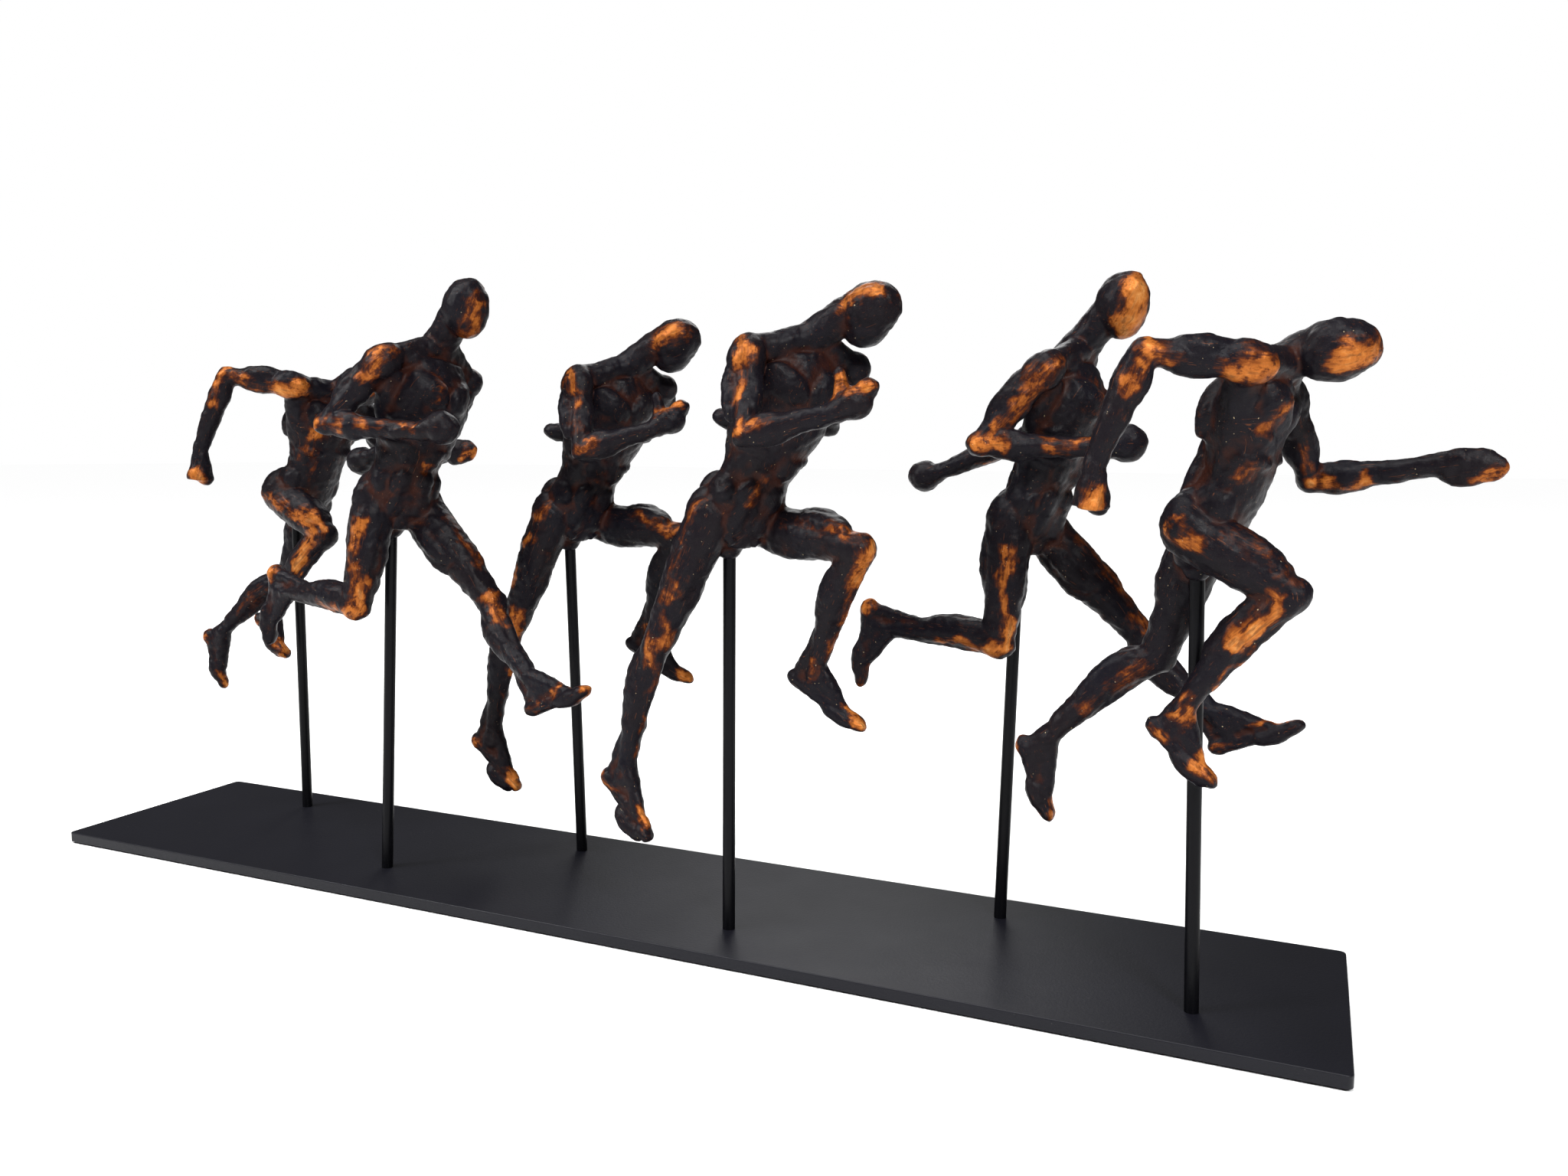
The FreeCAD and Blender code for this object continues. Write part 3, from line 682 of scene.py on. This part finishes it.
DRIVER_STROKES = [
    ("right_upper", -0.05, 0.35, 95, 7, 6, 0.8), ("right_fore", -0.1, 0.25, 90, 4.5, 5, 0.75),
    ("right_hand", 0.5, 1.5, 60, 5, 5, 0.8), ("right_thigh", -0.15, 0.2, 80, 8.5, 5, 0.65),
    ("right_shin", -0.1, 0.15, 45, 6, 6, 0.85), ("right_shin", 0.2, 0.9, 30, 4.5, 3, 0.62),
    ("right_foot", -0.05, 0.12, 90, 4, 4.5, 0.75), ("right_foot", 0.8, 1.15, 45, 4, 5, 0.9),
    ("left_thigh", 0.5, 1.0, -50, 7, 5, 0.72), ("left_shin", -0.1, 0.2, -35, 6, 7, 0.95),
    ("left_shin", 0.2, 0.85, -30, 4.5, 4, 0.68), ("left_shin", 0.92, 1.05, -90, 4, 5, 0.85),
    ("left_foot", 0.8, 1.15, -45, 4, 5, 0.95), ("belly", 0.3, 0.6, 10, 11, 4, 0.66),
]
REACHER_STROKES = [
    ("right_upper", -0.14, 0.2, 80, 6, 8, 0.95), ("right_upper", 0.75, 1.0, 90, 4, 6, 0.72),
    ("right_fore", -0.1, 0.35, 90, 4, 5, 0.9), ("right_hand", 0.9, 1.5, 90, 5, 5, 0.85),
    ("breast", 0.3, 0.6, 55, 13, 6, 0.9), ("belly", 0.7, 1.0, 60, 12, 6, 0.72),
    ("right_thigh", -0.15, 0.15, 105, 8.5, 5, 0.8), ("right_shin", 0.08, 0.42, 100, 5.5, 6, 1.0),
    ("right_shin", 0.4, 1.0, 25, 3.5, 2.4, 0.75), ("right_shin", 0.92, 1.05, 90, 4, 4, 0.9),
    ("right_foot", -0.05, 0.1, 110, 4, 4, 0.9), ("right_foot", 0.75, 1.1, 30, 4, 5, 0.95),
    ("left_fore", 0.05, 0.5, -90, 4.5, 4.5, 0.85), ("left_hand", 1.3, 2.0, -140, 5, 4, 0.8),
    ("left_shin", 0.1, 0.6, -110, 5.5, 6, 0.5), ("left_foot", -0.1, 0.1, -110, 3, 4, 0.9),
    ("left_foot", 0.85, 1.1, -45, 4, 4, 0.95),
]
COPY_STROKES = {
    "back_left": REACHER_STROKES + [
        ("head", 0.4, 1.1, 60, 8, 7, 0.7), ("right_thigh", 0.0, 0.6, 95, 8, 5, 0.85),
        ("right_thigh", 0.5, 1.0, 60, 7, 6, 0.95), ("right_upper", 0.15, 0.6, 60, 4, 4, 0.6),
        ("belly", 0.1, 0.8, 45, 11, 5, 0.62), ("right_foot", 0.7, 1.1, 160, 3, 4, 0.9)],
    "front_left": STRIDER_STROKES + [
        ("head", -0.7, 0.4, 25, 9, 7, 0.85), ("belly", 0.55, 0.75, -10, 11, 4, 0.85),
        ("right_fore", 0.1, 0.5, 60, 4.5, 4, 0.6)],
    "back_middle": DRIVER_STROKES + [
        ("head", -0.3, 1.0, 105, 9, 8, 0.82), ("right_thigh", 0.2, 0.95, 110, 7.5, 3.5, 0.95),
        ("right_upper", 0.3, 0.8, 90, 5, 5, 0.5)],
    "front_middle": DRIVER_STROKES + [
        ("head", -0.5, 0.6, 130, 9, 7, 0.95), ("right_upper", 0.1, 1.0, 100, 5.5, 4.5, 0.95),
        ("right_thigh", 0.2, 0.85, 65, 8, 5, 0.62), ("left_thigh", 0.2, 0.6, -70, 8, 4, 0.55)],
    "back_right": STRIDER_STROKES + [
        ("head", -0.8, 0.9, 50, 8.5, 9, 1.0), ("right_upper", 0.2, 0.8, 60, 5, 5, 0.8),
        ("left_thigh", 0.3, 0.8, -60, 8, 7, 0.62), ("right_fore", 0.6, 0.9, 110, 4, 4, 0.8)],
    "front_right": REACHER_STROKES + [
        ("head", 0.3, 1.1, 70, 8, 8, 1.0), ("breast", -0.2, 0.8, 125, 12, 9, 0.42),
        ("right_thigh", 0.3, 0.9, 30, 7, 5, 0.5), ("left_upper", 0.1, 0.8, -60, 5, 4, 0.55)],
}


# The cloth went round the far side of each runner too, as far as can be guessed.
FAR_STROKES = [
    ("left_upper", -0.1, 0.3, 100, 7, 7, 0.8), ("left_fore", -0.1, 0.2, 90, 5, 5, 0.8),
    ("left_thigh", 0.0, 0.5, 110, 8, 5, 0.62), ("left_foot", 0.8, 1.1, 60, 4, 5, 0.9),
    ("head", 0.2, 1.0, -80, 8, 7, 0.85), ("breast", 0.35, 0.65, -70, 13, 6, 0.7),
]
FAR_STRENGTH = 0.85


def all_strokes(place):
    """A runner's strokes, with those on the inside of its left limbs repeated outside."""
    near = COPY_STROKES[place]
    far = [(bone, first, last, angle + 180, reach, width, strength * FAR_STRENGTH)
           for bone, first, last, angle, reach, width, strength in near
           if bone.startswith("left") and angle < 0]
    return near + far + FAR_STROKES


def stroke_line(bone, first, last, angle, reach):
    """The two ends of a stroke that runs down a bone at one angle round it."""
    start, end, ahead, outside = bone
    out = ahead * math.cos(math.radians(angle)) + outside * math.sin(math.radians(angle))
    return start.lerp(end, first) + out * reach, start.lerp(end, last) + out * reach


# %% Skin attributes
# A stroke's edge wanders twice: size and reach in mm, first broadly and then finely.
WANDERS = [(9, 4.5), (3, 1.5)]
WANDER_SEED = 7        # without a seed the noise follows the clock and differs on every run
CALM_ROUNDS = 60       # smoothings that give the calm skin which proud points stand out from
BONE_FALLOFF = 4       # how fast a bone's hold on the grain fades with distance


def near_line(points, start, end):
    """Distance of each point from a line between two ends."""
    way = end - start
    share = np.clip((points - start) @ way / max(way @ way, 1e-12), 0, 1)
    return np.linalg.norm(points - start - share[:, None] * way, axis=1)


def wander(points, size, reach):
    """Points moved smoothly at random, by up to reach mm over every size mm."""
    drift = np.array([noise.noise_vector(Vector(point) / (size * MM)) for point in points])
    return points + drift * reach * MM


def proudness(points, normals, edges, rounds):
    """How far each point stands out from the skin around it, in mm."""
    count = np.bincount(edges.ravel(), minlength=len(points))[:, None]
    calm = points.copy()
    for _ in range(rounds):
        total = np.stack([
            np.bincount(edges[:, 0], calm[edges[:, 1], k], len(points))
            + np.bincount(edges[:, 1], calm[edges[:, 0], k], len(points)) for k in range(3)], 1)
        calm = total / count
    return ((points - calm) * normals).sum(1) / MM


def limb_places(points, bones):
    """Each point across, through and along the bones near it, in metres, so grain can follow."""
    total = np.zeros_like(points)
    weights = np.zeros(len(points))
    for start, end, front, outside in bones:
        way = (end - start) / np.linalg.norm(end - start)
        near = 1 / (near_line(points, start, end) + MM) ** BONE_FALLOFF
        local = (points - start) @ np.stack([front, outside, way], 1)
        total += near[:, None] * local
        weights += near
    return total / weights[:, None]


def write_attribute(piece, name, values):
    """Keeps one number or one vector for each point of the skin."""
    kind, field = ("FLOAT", "value") if values.ndim == 1 else ("FLOAT_VECTOR", "vector")
    layer = piece.data.attributes.new(name, kind, "POINT")
    layer.data.foreach_set(field, values.astype(np.float32).ravel())


def read_vectors(collection, field, count):
    values = np.empty(count * 3, np.float32)
    collection.foreach_get(field, values)
    return values.reshape(-1, 3).astype(float)


noise.seed_set(WANDER_SEED)
for place, runner in runners.items():
    mesh = runner.data
    points = read_vectors(mesh.vertices, "co", len(mesh.vertices))
    normals = read_vectors(mesh.vertices, "normal", len(mesh.vertices))
    edges = np.empty(len(mesh.edges) * 2, np.int32)
    mesh.edges.foreach_get("vertices", edges)
    move = station_place(place)
    rubbed = np.zeros(len(points))
    ragged = points
    for size, reach in WANDERS:
        ragged = wander(ragged, size, reach)
    bones = stroke_bones(STATIONS[place][0])
    for bone, first, last, angle, reach, width, strength in all_strokes(place):
        ends = [np.array(move @ (end * MM))
                for end in stroke_line(bones[bone], first, last, angle, reach)]
        away = near_line(ragged, *ends) / (width * MM)
        rubbed = np.maximum(rubbed, strength * (1 - away ** 2))
    write_attribute(runner, "rubbed", rubbed)
    turn = move.to_3x3()
    placed = [(np.array(move @ (start * MM)), np.array(move @ (end * MM)),
               np.array(turn @ front), np.array(turn @ outside))
              for start, end, front, outside in bones.values()]
    write_attribute(runner, "limb", limb_places(points, placed))
    write_attribute(runner, "proud", proudness(points, normals, edges.reshape(-1, 2), CALM_ROUNDS))
    print(place, "rubbed share", round(float((rubbed > 0.5).mean()), 3))

# %% [markdown]
# ## Shader maths in Python
#
# A material is a graph of nodes. Writing it as Python sums keeps it readable: a Value wraps one
# socket, and adding or multiplying Values adds the Math nodes. Every other node comes from one
# method, which sets the node up and plugs its inputs in.


# %% Values and finishes
class Value:
    """A shader socket that can be used in sums like a number."""

    def __init__(self, finish, socket):
        self.finish, self.socket = finish, socket

    def maths(self, operation, first, second):
        return self.finish.node("ShaderNodeMath", {"operation": operation},
                                {0: first, 1: second})

    def __add__(self, other):
        return self.maths("ADD", self, other)

    def __sub__(self, other):
        return self.maths("SUBTRACT", self, other)

    def __rsub__(self, other):
        return self.maths("SUBTRACT", other, self)

    def __mul__(self, other):
        return self.maths("MULTIPLY", self, other)

    __radd__ = __add__


class Finish:
    """One procedural material, with a Principled shader to plug Values into."""

    def __init__(self, name, **constants):
        self.material = bpy.data.materials.new(name)
        self.material.use_nodes = True
        self.tree = self.material.node_tree
        self.tree.nodes.clear()
        self.shader = self.tree.nodes.new("ShaderNodeBsdfPrincipled")
        output = self.tree.nodes.new("ShaderNodeOutputMaterial")
        self.tree.links.new(self.shader.outputs[0], output.inputs["Surface"])
        self.place = self.node("ShaderNodeTexCoord", {}, {}, "Object")
        self.plug(self.shader, constants)

    def plug(self, node, inputs):
        for name, value in inputs.items():
            name = name.replace("_", " ") if isinstance(name, str) else name
            if isinstance(value, Value):
                self.tree.links.new(value.socket, node.inputs[name])
            else:
                node.inputs[name].default_value = value

    def node(self, kind, settings, inputs, output=0):
        made = self.tree.nodes.new(kind)
        made.location = (-200 * len(self.tree.nodes), 0)
        for name, value in settings.items():
            if name == "stops":
                ramp = made.color_ramp.elements
                while len(ramp) < len(value):
                    ramp.new(1)
                for stop, (position, colour) in zip(ramp, value):
                    stop.position, stop.color = position, colour
            else:
                setattr(made, name, value)
        self.plug(made, inputs)
        return Value(self, made.outputs[output])

    def noise(self, size, detail=2.0, rough=0.5, at=None, twist=0.0):
        """Cloudy pattern from 0 to 1 whose patches are about size mm across."""
        return self.node("ShaderNodeTexNoise", {}, {
            "Vector": at or self.place, "Scale": 1 / (size * MM), "Detail": detail,
            "Roughness": rough, "Distortion": twist})

    def stretched(self, scale, at=None):
        """The place on the piece, squeezed so that patterns turn into streaks."""
        return self.node("ShaderNodeMapping", {}, {"Vector": at or self.place, "Scale": scale})

    def step(self, value, low, high):
        """0 below low, 1 above high, and a soft step between."""
        return self.node("ShaderNodeMapRange", {"interpolation_type": "SMOOTHSTEP"}, {
            "Value": value, "From Min": low, "From Max": high})

    def blend(self, share, first, second):
        """A colour between two others."""
        return self.node("ShaderNodeMix", {"data_type": "RGBA"}, {0: share, 6: first, 7: second}, 2)

    def bump(self, height, depth):
        """A Bump node: the height runs from 0 to 1, and the depth is in mm."""
        return self.node("ShaderNodeBump", {},
                         {"Height": height, "Distance": depth * MM, "Strength": 1.0})

    def attribute(self, name, output="Fac"):
        return self.node("ShaderNodeAttribute", {"attribute_name": name}, {}, output)

    def surface(self, **inputs):
        self.plug(self.shader, inputs)


def paint(hex_code):
    """A colour in linear light, from the hex code of the paint."""
    parts = [int(hex_code[k:k + 2], 16) / 255 for k in (0, 2, 4)]
    linear = [p / 12.92 if p <= 0.04045 else ((p + 0.055) / 1.055) ** 2.4 for p in parts]
    return (*linear, 1.0)


# %% [markdown]
# ## The rubbed patina
#
# The real casting is copper-coloured underneath, with a reddish wash in its hollows and a
# navy-black wax on top. The wax is rubbed through by hand, so a patch has ragged, streaky
# edges. One number, how much is rubbed away, decides all three: black below, red-brown round
# the edges and in the hollows, copper where it is high. Where it is rubbed most, the copper
# turns a pale tan that is partly worn copper and partly a painted highlight.

# %% Patina
patina = Finish("rubbed_bronze_patina", Specular_IOR_Level=0.07)
limb = patina.attribute("limb", "Vector")
clouded = patina.noise(9, 3, 0.55, twist=0.5)
ragged = patina.noise(2.4, 6, 0.68, twist=0.5)
grain = patina.noise(0.45, 3, 0.6)
streaks = patina.noise(1.5, 5, 0.62, at=patina.stretched((1.0, 1.0, 0.16), limb))
scratches = patina.noise(0.35, 2, 0.5, at=patina.stretched((1.0, 1.0, 0.05), limb))
rubbed = patina.attribute("rubbed")
proud = patina.attribute("proud")

worn = (rubbed * 1.05 + proud * 0.14 + (clouded - 0.5) * 1.1 + (ragged - 0.5) * 0.8
        + (streaks - 0.5) * 1.3)
copper = patina.step(worn, 0.63, 0.97)
wash = patina.step(worn, 0.36, 0.80)
hollow = patina.step(clouded * 0.8 - proud * 0.30, 0.34, 0.60)

wax = patina.blend(patina.noise(22, 2), paint("090b13"), paint("130d0e"))
wax = patina.blend(patina.step(grain, 0.50, 0.85), wax, paint("1b1718"))
brown = patina.blend(ragged, paint("170a06"), paint("50240d"))
bright = patina.blend(patina.step(worn, 0.66, 1.15), paint("5e2b0d"), paint("a05d26"))
# The palest tan, where the wax is rubbed most, is partly bare copper and partly a painted highlight
# standing in for the shine on the copper.
bright = patina.blend(patina.step(worn, 1.05, 1.50) * 0.8, bright, paint("cc9152"))
bright = patina.blend(patina.step(streaks, 0.46, 0.66) * 0.75, bright, paint("4f220b"))
skin = patina.blend(hollow * 0.38, wax, brown)
skin = patina.blend(wash * 0.8, skin, brown)
skin = patina.blend(patina.step(scratches, 0.66, 0.72) * 0.3, skin, paint("7a4524"))
skin = patina.blend(copper, skin, bright)
specks = patina.step(patina.noise(0.9, 1), 0.78, 0.81)
skin = patina.blend(specks * 0.5, skin, paint("c9b58f"))
height = ragged * 0.8 + grain * 0.2
patina.surface(Base_Color=skin, Metallic=copper * 0.3,
               Roughness=0.36 + (ragged - 0.5) * 0.3,
               Normal=patina.bump(height, 0.3))
print("patina nodes:", len(patina.tree.nodes))

# %% [markdown]
# ## Steel finishes
#
# The plate is powder coated: the powder melts into a skin with a faint orange peel. The rods
# have a thinner satin paint. The screws are bare steel, and the felt under the plate is fibrous.

# %% Powder coat, rod paint, steel and felt
powder = Finish("black_powder_coat", Specular_IOR_Level=0.16)
peel = powder.noise(1.1, 2, 0.5)
dust = powder.step(powder.noise(0.9, 1, 0.5), 0.80, 0.84)
powder_tone = powder.blend(powder.noise(60, 2), paint("0b0b10"), paint("101016"))
powder.surface(Base_Color=powder.blend(dust * 0.4, powder_tone, paint("6d6a66")),
               Roughness=0.42 + (powder.noise(25, 3) - 0.5) * 0.12,
               Normal=powder.bump(peel, 0.05))

enamel = Finish("satin_rod_paint", Specular_IOR_Level=0.08)
drawn = enamel.noise(2.0, 3, 0.5, at=enamel.stretched((1, 1, 0.05)))
enamel.surface(Base_Color=enamel.blend(drawn, paint("050507"), paint("09090c")),
               Roughness=0.34 + (drawn - 0.5) * 0.15,
               Normal=enamel.bump(enamel.noise(0.9, 2), 0.03))

steel = Finish("bare_screw_steel", Metallic=1.0)
turned = steel.noise(0.3, 2, 0.5)
steel.surface(Base_Color=steel.blend(turned, paint("8d8d90"), paint("b4b4b8")),
              Roughness=0.30 + turned * 0.15)

felt = Finish("black_felt")
fibres = felt.noise(0.35, 4, 0.7, at=felt.stretched((1, 0.25, 1)))
felt.surface(Base_Color=felt.blend(fibres, paint("0e0e0f"), paint("2a2a2c")),
             Roughness=0.95 - fibres * 0.05, Normal=felt.bump(fibres, 0.15))

# %% Finishes on the pieces
COATED = {"base_plate": powder, "felt_underlay": felt, "rod_": enamel, "screw_": steel}
for name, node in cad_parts.items():
    finish = next((f for start, f in COATED.items() if name.startswith(start)), None)
    if finish:
        node.data.materials.clear()
        node.data.materials.append(finish.material)
for place, runner in runners.items():
    runner.data.materials.clear()
    runner.data.materials.append(patina.material)
    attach(runner, "root")
    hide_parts("runner_" + place)
    low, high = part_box("runner_" + place)
    corners = np.array([v.co for v in runner.data.vertices])
    under = [round(float(c) / MM, 1) for c in np.array(low) - corners.min(0)]
    over = [round(float(c) / MM, 1) for c in corners.max(0) - np.array(high)]
    print(place, "stands outside its CAD solid's box by, low and high:", under, over)

# %% [markdown]
# ## Floor and light
#
# The row stands on a pale floor in a white studio. A wide soft sun stands in for the ceiling
# lights, so the floor is lit evenly as far as the eye can see. Three smaller lamps draw a
# sheen along the tops of the limbs. The walls look white, but give the runners little light, so
# that the dark wax stays dark.

# %% Floor
FLOOR_SIZE = 24        # metres, far past what the camera sees
bpy.ops.mesh.primitive_plane_add(size=FLOOR_SIZE, location=(0, 0, cad_low.z))
floor = bpy.context.object
floor.name = "floor"
pale = Finish("pale_floor", Base_Color=paint("f4f4f4"), Roughness=0.9, Specular_IOR_Level=0.1)
floor.data.materials.append(pale.material)


# %% Lamps and walls
def lamp(name, kind, at, towards, size, power):
    """A soft lamp that points at something. A sun's size is the angle it fills, in degrees."""
    turn = (Vector(towards) - Vector(at)).to_track_quat("-Z", "Y").to_euler()
    bpy.ops.object.light_add(type=kind, location=at, rotation=turn)
    made = bpy.context.object
    made.name = name
    made.data.energy = power
    if kind == "SUN":
        made.data.angle = math.radians(size)
    else:
        made.data.size = size
    return made


lamp("ceiling", "SUN", (-0.3, -0.4, 1.5), (0, 0, 0), 35, 3.4)
lamp("front_right", "AREA", (0.9, -0.9, 1.0), (0, 0, 0.15), 0.3, 24)
lamp("front_left", "AREA", (-0.9, -0.8, 1.0), (0, 0, 0.15), 0.3, 18)
lamp("behind", "AREA", (-0.3, 1.0, 0.9), (0, 0, 0.15), 0.6, 5)
WALL_WHITE = 1.0
WALL_LIGHT = 0.1
walls = bpy.data.worlds.new("white_walls")
walls.use_nodes = True
wall_nodes = walls.node_tree.nodes
seen = wall_nodes.new("ShaderNodeLightPath")
strength = wall_nodes.new("ShaderNodeMapRange")
strength.inputs["To Min"].default_value = WALL_LIGHT
strength.inputs["To Max"].default_value = WALL_WHITE
wall_nodes["Background"].inputs["Color"].default_value = (1, 1, 1, 1)
walls.node_tree.links.new(seen.outputs["Is Camera Ray"], strength.inputs["Value"])
walls.node_tree.links.new(strength.outputs[0], wall_nodes["Background"].inputs["Strength"])
scene.world = walls
scene.view_settings.view_transform = "Standard"
